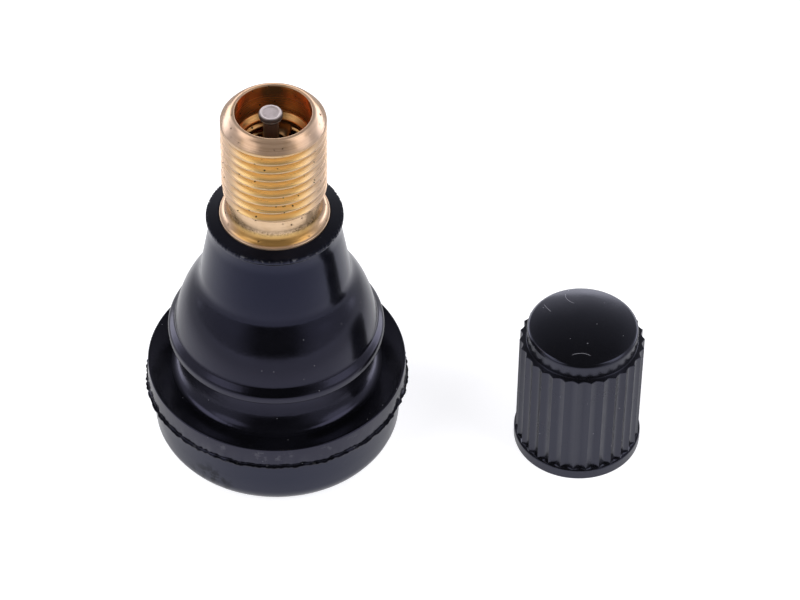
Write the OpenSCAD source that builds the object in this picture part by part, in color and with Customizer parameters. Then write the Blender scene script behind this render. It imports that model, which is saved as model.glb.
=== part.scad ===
// Snap-in tyre valve standing on its base, with its dust cap taken off and set down beside it.
// The valve's axis is Z, and its base stands on Z = 0. All sizes are in millimetres.

/* [Overall] */
// Height of the valve, from its base to the mouth of its stem
valve_h = 33; // [31:0.5:44]

/* [Rubber base] */
// Radius of the flat ring that the base stands on
base_flat_r = 4.1; // [3:0.1:6]
// Radius of the base's wall below the parting line
base_r = 9.35; // [8.5:0.05:9.6]
// Height of the rounded bottom edge of the base
base_round_h = 2.7; // [1.5:0.1:4]
// Height of the mould's parting line above the floor
parting_h = 6.1; // [5:0.1:8]
// Radius of the flange at its top edge
flange_r = 9.8; // [9.4:0.05:11]
// Height of the flange's wall, from the parting line to the top edge
flange_h = 1.73; // [1.2:0.01:2.5]
// Radius of the rounding on the flange's top edge
flange_round = 0.15; // [0.05:0.05:0.3]
// How far the moulding flash stands out of the flange's wall
flash_w = 0.25; // [0.1:0.05:0.4]
// Thickness of the moulding flash at its edge
flash_t = 0.12; // [0.05:0.01:0.25]
// Height of the wedge that carries the flash, below the parting line
flash_h = 0.5; // [0.3:0.05:0.8]
// How far the flange's wall leans out, from its top edge down to the flash
flange_lean = 0.05; // [0:0.01:0.08]
// Radius of the soft ring where the flange's top face meets the rim groove
dish_r = 8; // [7.6:0.05:8.6]
// How far the flange's top face dips from its edge to that ring
dish_drop = 0.55; // [0.2:0.05:0.8]
// Radius of the air hole through the base
air_r = 2.2; // [1.5:0.1:2.8]

/* [Rim groove and bulb] */
// Radius of the rubber at the narrowest place of the rim groove, under the lip
groove_r = 6.35; // [6:0.05:7.2]
// Height of the rim groove, from the flange's edge up to the lip
groove_h = 3.2; // [2.8:0.1:5]
// Radius of the lip over the rim groove
lip_r = 8.15; // [7.9:0.05:8.6]
// Height of the lip's outer face
lip_h = 0.65; // [0.4:0.05:1]
// Radius of the bulb at its lower edge
bulb_r = 7.6; // [7.3:0.05:7.8]
// Height of the sloping step from the lip up to the bulb
ledge_h = 0.5; // [0.2:0.05:0.8]

/* [Rubber neck] */
// Radius of the neck at its top
neck_r = 4.88; // [4.7:0.02:5.4]
// Height of the neck's straight top, with its trimmed edge
neck_h = 1.35; // [1.2:0.05:3]
// Radius of the neck at its foot, where the shoulder starts
neck_foot_r = 5.5; // [5.42:0.02:5.8]
// Height of the neck's taper
neck_taper_h = 3.6; // [2.5:0.1:5]
// How far the trimmed edge stands out of the neck
trim_w = 0.19; // [0.05:0.01:0.3]
// Height of the trimmed edge
trim_h = 0.35; // [0.2:0.05:0.6]

/* [Brass stem] */
// Radius of the outer thread over its crests
stem_r = 3.85; // [3.7:0.01:4]
// Length of the outer thread
thread_h = 6.4; // [5.5:0.1:9]
// Pitch of the outer thread
thread_pitch = 0.794; // [0.7:0.002:1.1]
// Depth of the outer thread
thread_depth = 0.4; // [0.2:0.01:0.42]
// Width of the flat at the bottom of the thread
thread_root_w = 0.16; // [0.1:0.01:0.2]
// Height of the chamfer between the thread and the mouth
chamfer_h = 0.9; // [0.5:0.05:1.4]
// Width of the ring round the mouth
mouth_ring_w = 0.2; // [0.1:0.05:0.6]
// Radius of the smooth neck below the thread
stem_neck_r = 3.45; // [3.3:0.01:3.6]
// Height of the smooth neck with the thread's run-out
stem_neck_h = 1.4; // [1:0.1:3]
// Height of the hollow flare from the neck down to the collar
flare_h = 1.1; // [0.6:0.1:2]
// Radius of the collar
collar_r = 4.07; // [3.95:0.01:4.3]
// How far the collar stands out of the rubber
collar_proud = 0.35; // [0.1:0.05:0.6]
// How far the collar reaches down into the rubber
collar_sunk = 1; // [0.6:0.1:2]
// Radius of the shank inside the rubber
shank_r = 3.6; // [3.4:0.05:3.8]
// Length of the stem inside the rubber
shank_h = 12.2; // [11.6:0.1:13.5]
// Radius of the foot that anchors the stem
foot_r = 4.7; // [4.2:0.05:5.4]
// Height of the foot's edge
foot_h = 1; // [0.5:0.1:2]

/* [Stem bore] */
// Radius of the mouth
mouth_r = 2.8; // [2.7:0.02:3]
// Depth of the mouth
mouth_depth = 2.5; // [2:0.1:3]
// Radius of the inner thread over its crests
core_bore_r = 2.4; // [2.36:0.02:2.5]
// Height of the taper from the inner thread down to the gasket's seat
seat_taper_h = 1; // [0.6:0.1:1.3]
// Radius of the seat at the top of the gasket
seat_r = 2.28; // [2.2:0.02:2.32]
// Radius of the chamber below the gasket
chamber_r = 2; // [1.92:0.02:2.1]

/* [Valve core] */
// Radius of the pin
pin_r = 0.575; // [0.5:0.025:0.65]
// Radius of the pin's head
pin_head_r = 0.875; // [0.8:0.025:1.1]
// Height of the pin's head
pin_head_h = 0.75; // [0.5:0.05:1]
// How far the pin's head lies below the mouth
pin_drop = 0.05; // [0:0.05:0.4]
// Depth of the plug's bridge below the mouth
bridge_drop = 2.9; // [2.4:0.1:3]
// Height of the bridge above the plug's thread
bridge_h = 2; // [1.8:0.1:2.6]
// Thickness of the bridge, across which the core key fits
bridge_t = 1.9; // [1.6:0.1:2.4]
// Thickness of the bridge's roof round the pin
roof_t = 0.9; // [0.6:0.1:1.2]
// Angle of the bridge about the axis
bridge_turn = 80; // [0:5:180]
// Length of the plug's thread
plug_h = 4.4; // [4:0.1:5]
// Thickness of the plug's wall
plug_wall = 0.6; // [0.5:0.02:0.64]
// Thickness of the lip that the barrel's neck hangs in
swivel_lip_t = 0.7; // [0.5:0.05:1]
// Length of the barrel below the plug
barrel_h = 6.6; // [6:0.1:8]
// Thickness of the barrel's wall
barrel_wall = 0.45; // [0.35:0.05:0.5]
// Depth of the gasket's top below the plug
gasket_drop = 1.4; // [1:0.1:1.8]
// Height of the gasket
gasket_h = 1.6; // [1:0.1:2]
// Diameter of the spring's wire
spring_wire = 0.26; // [0.2:0.02:0.3]
// Number of turns in the spring
spring_turns = 6.5; // [5:0.5:8]
// Height of the plunger's seal
seal_h = 0.9; // [0.6:0.1:1.2]
// Thickness of the plunger cup's wall
cup_wall = 0.2; // [0.15:0.05:0.3]
// Thickness of the plunger cup's floor
cup_floor = 0.9; // [0.5:0.1:1.5]
// Height of the cup's wall round the seal
cup_lap = 0.6; // [0.3:0.05:0.8]

/* [Valve core details] */
// How much narrower the bridge is than the plug's thread
bridge_step = 0.15; // [0.05:0.05:0.3]
// How much narrower the barrel's neck is than the barrel
barrel_step = 0.4; // [0.3:0.02:0.44]
// Height of the bead that is crimped over the plug's lip
bead_h = 0.5; // [0.3:0.05:0.8]
// Thickness of the ledge that the spring stands on
ledge_t = 0.6; // [0.4:0.05:0.8]
// Thickness of the roof over the spring's chamber
spring_roof_t = 0.6; // [0.4:0.05:0.8]
// Depth of the gasket's groove in the barrel
gasket_groove = 0.2; // [0.1:0.02:0.24]
// Height of the pin's ears over the spring
ear_h = 0.6; // [0.4:0.05:0.8]
// How much thicker the ears are than the pin
ear_extra = 0.1; // [0.05:0.05:0.4]
// Radius of the pin's riveted foot
rivet_r = 0.85; // [0.75:0.05:1.1]
// Height of the pin's riveted foot
rivet_h = 0.45; // [0.3:0.05:0.6]
// Bevel on the pin's head and foot
pin_bevel = 0.14; // [0.05:0.01:0.15]

/* [Dust cap] */
// Clear space on the floor between the flange and the cap
cap_gap = 8.19; // [5:0.01:20]
// How far the cap stands in front of the valve
cap_forward = 0.2; // [0:0.1:5]
// Radius of the plain ring at the cap's mouth
cap_ring_r = 4.87; // [4.75:0.01:5.5]
// Height of that ring
cap_ring_h = 0.9; // [0.5:0.1:1.5]
// Radius of the cap over its ribs
rib_r = 4.74; // [4.6:0.02:4.84]
// Depth of the hollow flutes between the ribs
flute_depth = 0.24; // [0.1:0.01:0.3]
// Radius of a flute's hollow
flute_r = 0.55; // [0.4:0.01:1]
// Number of ribs
rib_count = 30; // [20:1:40]
// Height of the ribs
rib_h = 9.5; // [8:0.1:12]
// Radius of the smooth band above the ribs
band_r = 4.22; // [4.15:0.01:4.4]
// Height of the smooth band
band_h = 1.05; // [0.6:0.05:2]
// Radius of the rounding between the band and the dome
dome_round = 0.3; // [0.1:0.05:0.5]
// Radius of the dome's curve
dome_curve_r = 14; // [6:0.5:40]
// Thickness of the cap's top between its threaded hole and the dome's edge
cap_top_t = 1.85; // [1:0.05:3]

/* [Clearances] */
// Gap between the bonded rubber and brass
bond_gap = 0.02; // [0.01:0.01:0.04]
// Radial play of a screw thread
thread_gap = 0.05; // [0.03:0.01:0.08]
// Radial play of the barrel's neck in the plug
swivel_gap = 0.08; // [0.04:0.01:0.1]
// Space between the core and the chamber's wall
chamber_gap = 0.25; // [0.2:0.01:0.3]
// Space for air round the pin in the barrel's neck, its ledge and the bridge
air_gap = 0.3; // [0.2:0.02:0.34]
// Gap between pieces that seat on each other
seat_gap = 0.02; // [0.01:0.01:0.04]
// Space round the bead, the spring and the ears
inner_gap = 0.1; // [0.06:0.01:0.14]

/* [Hidden] */

// Sides of a round shape and of a flute as drawn, and steps in a curved stretch of an outline
round_fn = 96;
flute_fn = 32;
arc_steps = 10;
// A cut runs this far past the face that it opens
overcut = 1;

// Height of the stem above the rubber, and heights up the rubber body
stem_h = collar_proud + flare_h + stem_neck_h + thread_h + chamfer_h;
rubber_top_z = valve_h - stem_h;
neck_z = rubber_top_z - neck_h;
flange_z = parting_h + flange_h;
dish_z = flange_z - dish_drop;
lip_z = flange_z + groove_h;
lip_top_z = lip_z + lip_h;
bulb_z = lip_top_z + ledge_h;
neck_foot_z = neck_z - neck_taper_h;
neck_taper_a = atan2(neck_foot_r - neck_r, neck_taper_h);
shoulder_h = neck_foot_z - bulb_z;
flash_r = flange_r + flash_w;
trim_r = neck_r + trim_w;

// Hollow of the rim groove, up from the flange and out under the lip: the height of the part under
// the lip, the wall's lean where the two meet, and how far the tangents reach there and at the ends
lip_under_h = 0.6;
groove_lean = 8;
groove_neck_pull = 0.51;
groove_floor_pull = 0.55;
lip_pull = 0.7;
groove_top_z = lip_z - lip_under_h;
groove_floor_h = groove_top_z - dish_z;
// Shape of the shoulder, round below and hollow above: its lean at the bulb and where the two meet,
// the place where they meet, and how far the tangents reach there and at the ends
shoulder_lean = 10;
shoulder_steep = 36;
shoulder_mid_in = 0.687;
shoulder_mid_up = 0.677;
shoulder_bulb_pull = 0.28;
shoulder_round_pull = 0.26;
shoulder_hollow_pull = 0.175;
shoulder_foot_pull = 0.14;
shoulder_mid = [bulb_r - (bulb_r - neck_foot_r) * shoulder_mid_in, bulb_z + shoulder_h * shoulder_mid_up];

// Heights up the stem
collar_z = rubber_top_z + collar_proud;
stem_neck_z = collar_z + flare_h;
thread_z = stem_neck_z + stem_neck_h;
thread_top_z = thread_z + thread_h;
foot_z = rubber_top_z - shank_h;
collar_low_z = rubber_top_z - collar_sunk;
mouth_ring_r = mouth_r + mouth_ring_w;
// Turns of the outer thread, and half the width of its groove at the crests
thread_turns = floor(thread_h / thread_pitch);
thread_flank_a = 30;
thread_groove_half = thread_root_w / 2 + thread_depth * tan(thread_flank_a);
// Shape of the hollow flare: how far the tangents reach at the collar and at the neck, and the
// rise of the first over the collar
flare_collar_pull = 0.7;
flare_neck_pull = 0.6;
flare_collar_rise = 0.1;

// Heights down the core, from the mouth
bridge_z = valve_h - bridge_drop;
plug_top_z = bridge_z - bridge_h;
plug_z = plug_top_z - plug_h;
barrel_top_z = plug_z - seat_gap;
gasket_top_z = plug_z - gasket_drop;
gasket_z = gasket_top_z - gasket_h;
barrel_z = barrel_top_z - barrel_h;
seal_z = barrel_z - seat_gap - seal_h;
cup_z = seal_z - seat_gap - cup_floor;

// Radii of the core's pieces
plug_r = core_bore_r - thread_gap;
plug_bore_r = plug_r - plug_wall;
bridge_r = plug_r - bridge_step;
barrel_r = chamber_r - chamber_gap;
barrel_bore_r = barrel_r - barrel_wall;
barrel_neck_r = barrel_r - barrel_step;
air_hole_r = pin_r + air_gap;
bead_r = plug_bore_r - inner_gap;
gasket_groove_r = barrel_r - gasket_groove;
spring_r = barrel_bore_r - inner_gap - spring_wire / 2;
ear_r = barrel_bore_r - inner_gap;
ear_t = 2 * pin_r + ear_extra;
cup_bore_r = barrel_r - cup_wall;
// Heights of the spring's ends: on the barrel's ledge, and under the pin's ears
spring_z = barrel_z + ledge_t + seat_gap;
spring_top_z = barrel_top_z - spring_roof_t - ear_h - 2 * seat_gap;

// Heights up the cap, and where it stands
rib_top_z = cap_ring_h + rib_h;
band_top_z = rib_top_z + band_h;
cap_hole_h = band_top_z - cap_top_t;
dome_centre_z = band_top_z - sqrt(pow(dome_curve_r - dome_round, 2) - pow(band_r - dome_round, 2));
dome_edge_a = atan2(band_top_z - dome_centre_z, band_r - dome_round);
cap_x = flash_r + cap_gap + cap_ring_r;
cap_hole_r = stem_r + thread_gap;
flute_bottom_r = rib_r - flute_depth;

// Points of an ellipse round centre c, from angle a0 to angle a1
function arc(c, rx, rz, a0, a1) = [
    for (i = [0:arc_steps])
        let (a = a0 + (a1 - a0) * i / arc_steps)
        [c[0] + rx * cos(a), c[1] + rz * sin(a)]
];

// Points of a smooth curve that leaves p0 towards p1 and reaches p3 from p2
function curve(p0, p1, p2, p3) = [
    for (i = [0:arc_steps])
        let (t = i / arc_steps, s = 1 - t)
        s * s * s * p0 + 3 * s * s * t * p1 + 3 * s * t * t * p2 + t * t * t * p3
];

// A turned or moulded solid: an outline of radius and height, swept round Z
module turned(outline) {
    rotate_extrude($fn = round_fn) polygon(outline);
}

// Outside of the stem where the rubber grips it, from the foot up, set out by a gap
function shank_outline(gap) = [
    [foot_r + gap, foot_z - gap],
    [foot_r + gap, foot_z + foot_h + gap],
    [shank_r + gap, foot_z + foot_h + foot_r - shank_r + gap],
    [shank_r + gap, collar_low_z - collar_r + shank_r - gap],
    [collar_r + gap, collar_low_z - gap]
];

// An outline's points in the opposite order
function reversed(points) = [for (i = [len(points) - 1:-1:0]) points[i]];

// Base of the body: rounded bottom edge, wall, moulding flash and flange, up to the soft ring
function base_outline() = concat(
    [[air_r, 0]],
    arc([base_flat_r, base_round_h], base_r - base_flat_r, base_round_h, -90, 0),
    [
        [base_r, parting_h - flash_h],
        [flash_r, parting_h - flash_t],
        [flash_r, parting_h],
        [flange_r + flange_lean, parting_h]
    ],
    arc([flange_r - flange_round, flange_z - flange_round], flange_round, flange_round, 0, 90),
    [[dish_r, dish_z]]
);

// Rim groove and bulb: hollow wall, underside of the lip, lip and sloping step
function groove_outline() = concat(
    curve(
        [dish_r, dish_z],
        [dish_r - (dish_r - groove_r) * groove_floor_pull, dish_z],
        [groove_r, groove_top_z] + groove_floor_h * groove_neck_pull * [tan(groove_lean), -1],
        [groove_r, groove_top_z]
    ),
    curve(
        [groove_r, groove_top_z],
        [groove_r, groove_top_z] + lip_under_h * groove_neck_pull * [-tan(groove_lean), 1],
        [lip_r - (lip_r - groove_r) * lip_pull, lip_z],
        [lip_r, lip_z]
    ),
    [[lip_r, lip_top_z]]
);

// Direction of an outline that leans inward by an angle
function leaning(angle) = [-sin(angle), cos(angle)];

// Shoulder and neck, up to the trimmed edge at the top
function shoulder_outline() = concat(
    curve(
        [bulb_r, bulb_z],
        [bulb_r, bulb_z] + shoulder_h * shoulder_bulb_pull * leaning(shoulder_lean),
        shoulder_mid - shoulder_h * shoulder_round_pull * leaning(shoulder_steep),
        shoulder_mid
    ),
    curve(
        shoulder_mid,
        shoulder_mid + shoulder_h * shoulder_hollow_pull * leaning(shoulder_steep),
        [neck_foot_r, neck_foot_z] - shoulder_h * shoulder_foot_pull * leaning(neck_taper_a),
        [neck_foot_r, neck_foot_z]
    ),
    [
        [neck_r, neck_z],
        [neck_r, rubber_top_z - trim_h - trim_w],
        [trim_r, rubber_top_z - trim_h],
        [trim_r, rubber_top_z]
    ]
);

// Moulded body, with the hollow that the stem is bonded into and the air hole below it
module rubber_body() {
    color([0.1, 0.1, 0.12])
        turned(concat(
            base_outline(),
            groove_outline(),
            shoulder_outline(),
            [[collar_r + bond_gap, rubber_top_z]],
            reversed(shank_outline(bond_gap)),
            [[air_r, foot_z - bond_gap]]
        ));
}

// Bore of the stem, from the mouth down: mouth, inner thread, gasket seat and chamber
function stem_bore_outline() = [
    [mouth_r, valve_h],
    [mouth_r, valve_h - mouth_depth],
    [core_bore_r, valve_h - mouth_depth - mouth_r + core_bore_r],
    [core_bore_r, gasket_top_z + seat_taper_h],
    [seat_r, gasket_top_z],
    [chamber_r, gasket_z],
    [chamber_r, foot_z]
];

// Outer thread, from its lowest crest up: its section repeated for each turn, as rings
function thread_outline() = [
    for (i = [0:thread_turns - 1])
        let (z = thread_z + thread_pitch * (i + 0.5))
        each [
            [stem_r, z - thread_groove_half],
            [stem_r - thread_depth, z - thread_root_w / 2],
            [stem_r - thread_depth, z + thread_root_w / 2],
            [stem_r, z + thread_groove_half]
        ]
];

// Turned stem: foot, shank, collar, hollow flare, neck, threaded length and mouth
module brass_stem() {
    color([0.75, 0.58, 0.34])
        turned(concat(
            shank_outline(0),
            [[collar_r, collar_z]],
            curve(
                [collar_r, collar_z],
                [
                    collar_r - (collar_r - stem_neck_r) * flare_collar_pull,
                    collar_z + flare_h * flare_collar_rise
                ],
                [stem_neck_r, stem_neck_z - flare_h * flare_neck_pull],
                [stem_neck_r, stem_neck_z]
            ),
            [[stem_neck_r, thread_z - stem_r + stem_neck_r], [stem_r, thread_z]],
            thread_outline(),
            [[stem_r, thread_top_z], [mouth_ring_r, valve_h]],
            stem_bore_outline()
        ));
}

// Plug of the core: threaded ring with a lip below for the barrel's neck, and a flat bridge above
module core_plug() {
    color([0.7, 0.55, 0.32])
        difference() {
            union() {
                translate([0, 0, plug_z])
                    cylinder(h = plug_h, r = plug_r, $fn = round_fn);
                intersection() {
                    translate([0, 0, plug_z + swivel_lip_t])
                        cylinder(h = bridge_z - plug_z - swivel_lip_t, r = bridge_r, $fn = round_fn);
                    rotate([0, 0, bridge_turn])
                        translate([-bridge_r, -bridge_t / 2, plug_z])
                            cube([2 * bridge_r, bridge_t, bridge_z - plug_z]);
                }
            }
            translate([0, 0, plug_z - overcut])
                cylinder(h = bridge_z - plug_z + 2 * overcut, r = air_hole_r, $fn = round_fn);
            translate([0, 0, plug_z - overcut])
                cylinder(h = swivel_lip_t + overcut, r = barrel_neck_r + swivel_gap, $fn = round_fn);
            translate([0, 0, plug_z + swivel_lip_t])
                cylinder(h = bridge_z - roof_t - plug_z - swivel_lip_t, r = plug_bore_r, $fn = round_fn);
        }
}

// Barrel: tube with a ledge for the spring, a groove for the gasket and a neck crimped over the plug's lip
module core_barrel() {
    bead_z = plug_z + swivel_lip_t + seat_gap;
    color([0.72, 0.56, 0.33])
        turned([
            [air_hole_r, barrel_z],
            [barrel_r, barrel_z],
            [barrel_r, gasket_z - seat_gap],
            [gasket_groove_r, gasket_z - seat_gap],
            [gasket_groove_r, gasket_top_z + seat_gap],
            [barrel_r, gasket_top_z + seat_gap],
            [barrel_r, barrel_top_z],
            [barrel_neck_r, barrel_top_z],
            [barrel_neck_r, bead_z],
            [bead_r, bead_z],
            [bead_r, bead_z + bead_h],
            [air_hole_r, bead_z + bead_h],
            [air_hole_r, barrel_top_z - spring_roof_t],
            [barrel_bore_r, barrel_top_z - spring_roof_t],
            [barrel_bore_r, barrel_z + ledge_t],
            [air_hole_r, barrel_z + ledge_t]
        ]);
}

// Tapered gasket that seals the barrel in the stem's seat
module barrel_gasket() {
    color([0.55, 0.12, 0.1])
        turned([
            [gasket_groove_r + seat_gap, gasket_z],
            [chamber_r - seat_gap, gasket_z],
            [seat_r - seat_gap, gasket_top_z],
            [gasket_groove_r + seat_gap, gasket_top_z]
        ]);
}

// Coil spring between the barrel's ledge and the pin's ears, wound closer at both ends
module core_spring() {
    sides = 8;
    steps_per_turn = 18;
    steps = ceil(spring_turns * steps_per_turn);
    wire = spring_wire / 2;
    rise = spring_top_z - spring_z - spring_wire;
    end_closeness = 0.6;
    points = [
        for (i = [0:steps])
            let (
                u = i / steps,
                turn = 360 * spring_turns * u,
                z = spring_z + wire + rise * (u - end_closeness * sin(360 * u) / (2 * PI))
            )
            for (j = [0:sides - 1])
                let (r = spring_r + wire * cos(360 * j / sides))
                [r * cos(turn), r * sin(turn), z + wire * sin(360 * j / sides)]
    ];
    faces = concat(
        [[for (j = [0:sides - 1]) j]],
        [
            for (i = [0:steps - 1], j = [0:sides - 1], half = [0:1])
                let (a = i * sides + j, b = i * sides + (j + 1) % sides)
                half == 0 ? [a, a + sides, b] : [b, a + sides, b + sides]
        ],
        [[for (j = [sides - 1:-1:0]) steps * sides + j]]
    );
    color([0.7, 0.7, 0.72])
        polyhedron(points, faces);
}

// Pin: head at the mouth, shaft through plug and barrel, ears over the spring, foot riveted in the cup
module core_pin() {
    pin_top_z = valve_h - pin_drop;
    ear_z = spring_top_z + seat_gap;
    color([0.62, 0.58, 0.58])
        union() {
            turned([
                [0, cup_z - rivet_h],
                [rivet_r - pin_bevel, cup_z - rivet_h],
                [rivet_r, cup_z - rivet_h + pin_bevel],
                [rivet_r, cup_z - seat_gap],
                [pin_r, cup_z - seat_gap],
                [pin_r, pin_top_z - pin_head_h],
                [pin_head_r, pin_top_z - pin_head_h + pin_head_r - pin_r],
                [pin_head_r, pin_top_z - pin_bevel],
                [pin_head_r - pin_bevel, pin_top_z],
                [0, pin_top_z]
            ]);
            intersection() {
                translate([0, 0, ear_z])
                    cylinder(h = ear_h, r = ear_r, $fn = round_fn);
                translate([-ear_r, -ear_t / 2, ear_z])
                    cube([2 * ear_r, ear_t, ear_h]);
            }
        }
}

// Cup that carries the seal
module plunger_cup() {
    color([0.72, 0.56, 0.33])
        turned([
            [pin_r + seat_gap, cup_z],
            [barrel_r - cup_wall, cup_z],
            [barrel_r, cup_z + cup_wall],
            [barrel_r, cup_z + cup_floor + cup_lap],
            [cup_bore_r, cup_z + cup_floor + cup_lap],
            [cup_bore_r, cup_z + cup_floor],
            [pin_r + seat_gap, cup_z + cup_floor]
        ]);
}

// Rubber ring in the cup that closes the barrel's lower end
module plunger_seal() {
    color([0.12, 0.12, 0.12])
        turned([
            [pin_r + seat_gap, seal_z],
            [cup_bore_r - seat_gap, seal_z],
            [cup_bore_r - seat_gap, seal_z + seal_h],
            [pin_r + seat_gap, seal_z + seal_h]
        ]);
}

// Ribbed wall of the cap: a cylinder with hollow flutes all round, which leave sharp ribs
module ribbed_wall() {
    difference() {
        translate([0, 0, cap_ring_h])
            cylinder(h = rib_h, r = rib_r, $fn = round_fn);
        for (i = [0:rib_count - 1])
            rotate([0, 0, 360 * i / rib_count])
                translate([flute_bottom_r + flute_r, 0, cap_ring_h])
                    cylinder(h = rib_h + overcut, r = flute_r, $fn = flute_fn);
    }
}

// Cap: plain ring at the mouth, ribbed wall, smooth band and low dome over a blind threaded hole
module dust_cap() {
    wall_r = (cap_hole_r + flute_bottom_r) / 2;
    color([0.16, 0.16, 0.18])
        translate([cap_x, -cap_forward, 0])
            difference() {
                union() {
                    cylinder(h = cap_ring_h, r = cap_ring_r, $fn = round_fn);
                    ribbed_wall();
                    turned(concat(
                        [[0, 0], [wall_r, 0], [wall_r, rib_top_z], [band_r, rib_top_z]],
                        arc([band_r - dome_round, band_top_z], dome_round, dome_round, 0, dome_edge_a),
                        arc([0, dome_centre_z], dome_curve_r, dome_curve_r, dome_edge_a, 90)
                    ));
                }
                translate([0, 0, -overcut])
                    cylinder(h = cap_hole_h + overcut, r = cap_hole_r, $fn = round_fn);
            }
}

rubber_body();
brass_stem();
core_plug();
core_barrel();
barrel_gasket();
core_spring();
core_pin();
plunger_cup();
plunger_seal();
dust_cap();
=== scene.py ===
# %% [markdown]
# # A snap-in tyre valve and its dust cap
# The valve is a moulded rubber body with a threaded brass stem bonded into it. Its cap has been taken
# off and stands beside it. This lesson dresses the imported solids: each piece that shows is made again
# as a numpy surface, a function of two parameters on a grid, and gets a procedural material.
# All lengths below are in millimetres until a mesh is written.

import math

import bpy
import numpy as np
from mathutils import Matrix, Vector


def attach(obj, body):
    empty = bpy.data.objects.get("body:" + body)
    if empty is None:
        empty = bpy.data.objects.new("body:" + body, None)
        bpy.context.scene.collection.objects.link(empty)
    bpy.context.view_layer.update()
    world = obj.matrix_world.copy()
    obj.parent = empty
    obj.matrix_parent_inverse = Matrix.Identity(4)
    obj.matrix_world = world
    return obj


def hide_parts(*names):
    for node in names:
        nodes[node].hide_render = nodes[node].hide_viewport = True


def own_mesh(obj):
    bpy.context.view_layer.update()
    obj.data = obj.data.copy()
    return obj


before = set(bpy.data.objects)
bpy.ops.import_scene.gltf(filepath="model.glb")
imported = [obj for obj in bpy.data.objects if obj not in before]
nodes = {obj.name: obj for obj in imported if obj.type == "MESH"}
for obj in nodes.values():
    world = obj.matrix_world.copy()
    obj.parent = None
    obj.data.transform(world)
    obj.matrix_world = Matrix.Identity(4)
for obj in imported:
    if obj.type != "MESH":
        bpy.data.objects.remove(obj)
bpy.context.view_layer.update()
print("packed nodes:", sorted(nodes))

# %% [markdown]
# ## Camera
# The photograph looks down at about 45 degrees with a long lens. The lens, the distance and the small
# roll were fitted to the rims of the stem, the flange and the cap, so the camera is written as numbers.
# A camera could also be aimed by a constraint, but then its roll would be harder to set.

# %% Camera
MM = 0.001
LENS, SENSOR, NEAR_CLIP = 180, 36, 10
LOOK_DOWN, ROLL = math.radians(45.29), math.radians(0.95)
DISTANCE, RAISED, ASIDE = 309.66, 9.877, 9.295

ahead = Vector((0, math.cos(LOOK_DOWN), -math.sin(LOOK_DOWN)))
up = Vector((0, math.sin(LOOK_DOWN), math.cos(LOOK_DOWN)))
right = Vector((1, 0, 0))
place = (-DISTANCE * ahead + RAISED * up + ASIDE * right) * MM
rolled_right = math.cos(ROLL) * right + math.sin(ROLL) * up
rolled_up = math.cos(ROLL) * up - math.sin(ROLL) * right

camera = bpy.data.objects.new("camera", bpy.data.cameras.new("camera"))
camera.data.sensor_width = SENSOR
camera.data.lens = LENS
camera.data.clip_start = NEAR_CLIP * MM
camera.matrix_world = Matrix((rolled_right, rolled_up, -ahead)).transposed().to_4x4()
camera.location = place
bpy.context.scene.collection.objects.link(camera)
bpy.context.scene.camera = camera
print("camera at", [round(v, 4) for v in place])

# %% [markdown]
# ## Surfaces on a grid
# Nearly every piece is round, so it is a grid whose columns go round the axis and whose rows follow an
# outline. The Screw modifier could turn an outline too, but on a grid the rows can also be pushed in and
# out, which threads and torn edges need. Rows run up the outside and down the inside, which turns every
# face outward.

# %% Outlines
BEND_POINTS, SHARP_TURN = 5, math.radians(20)


def outline(corners, step=0.6, grain=0.04):
    """Rows of an outline through corners (r, z, cut).

    Formula: a corner becomes a parabola that leaves one side and joins the other at the distance cut
    from the corner. The line is then sampled by its running length: at its own points, a little before
    and after each corner with a sharp turn, and every step in between, all to a grain."""
    p = np.array(corners, float)
    corner, cut = p[1:-1, None, :2], p[1:-1, None, 2:]
    back, on = p[:-2, None, :2] - corner, p[2:, None, :2] - corner
    back /= np.linalg.norm(back, axis=2, keepdims=True)
    on /= np.linalg.norm(on, axis=2, keepdims=True)
    sharp = -(back * on).sum(axis=2)[:, 0] < math.cos(SHARP_TURN)
    start, end = corner + cut * back, corner + cut * on
    t = np.linspace(0, 1, BEND_POINTS)[None, :, None]
    bends = (1 - t) ** 2 * start + 2 * t * (1 - t) * corner + t**2 * end
    line = np.concatenate([p[:1, :2], bends.reshape(-1, 2), p[-1:, :2]])
    run = np.concatenate([[0], np.cumsum(np.linalg.norm(np.diff(line, axis=0), axis=1))])
    before = run[1:-1:BEND_POINTS][sharp] - 2 * grain
    after = run[BEND_POINTS:-1:BEND_POINTS][sharp] + 2 * grain
    stops = np.concatenate([run, before, after, np.arange(0, run[-1], step)])
    stops = np.unique(np.round(np.clip(stops, 0, run[-1]) / grain)) * grain
    return np.interp(stops, run, line[:, 0]), np.interp(stops, run, line[:, 1])


def cubic(p0, p1, p2, p3, count=16):
    """Corners (r, z, 0) along a curve that leaves p0 towards p1 and reaches p3 from p2."""
    t = np.linspace(0, 1, count)[:, None]
    weights = ((1 - t) ** 3, 3 * t * (1 - t) ** 2, 3 * t**2 * (1 - t), t**3)
    points = sum(w * np.array(p, float) for w, p in zip(weights, (p0, p1, p2, p3)))
    return [(r, z, 0) for r, z in points]


def arc(r, z, radius_r, radius_z, from_angle, to_angle, count=14):
    """Corners (r, z, 0) along an ellipse round (r, z), between two angles in degrees."""
    a = np.radians(np.linspace(from_angle, to_angle, count))
    return [(r + radius_r * c, z + radius_z * s, 0) for c, s in zip(np.cos(a), np.sin(a))]


# %% Grids
def angles(columns):
    """Angles of the columns, evenly round the axis."""
    return np.arange(columns) * 2 * np.pi / columns


def turned(r, z, theta, centre=(0, 0)):
    """Points of a turned surface: x = r cos theta, y = r sin theta, z, for every row and column."""
    r, z, theta = np.broadcast_arrays(r, z, theta)
    return np.stack([centre[0] + r * np.cos(theta), centre[1] + r * np.sin(theta), z], axis=-1)


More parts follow.
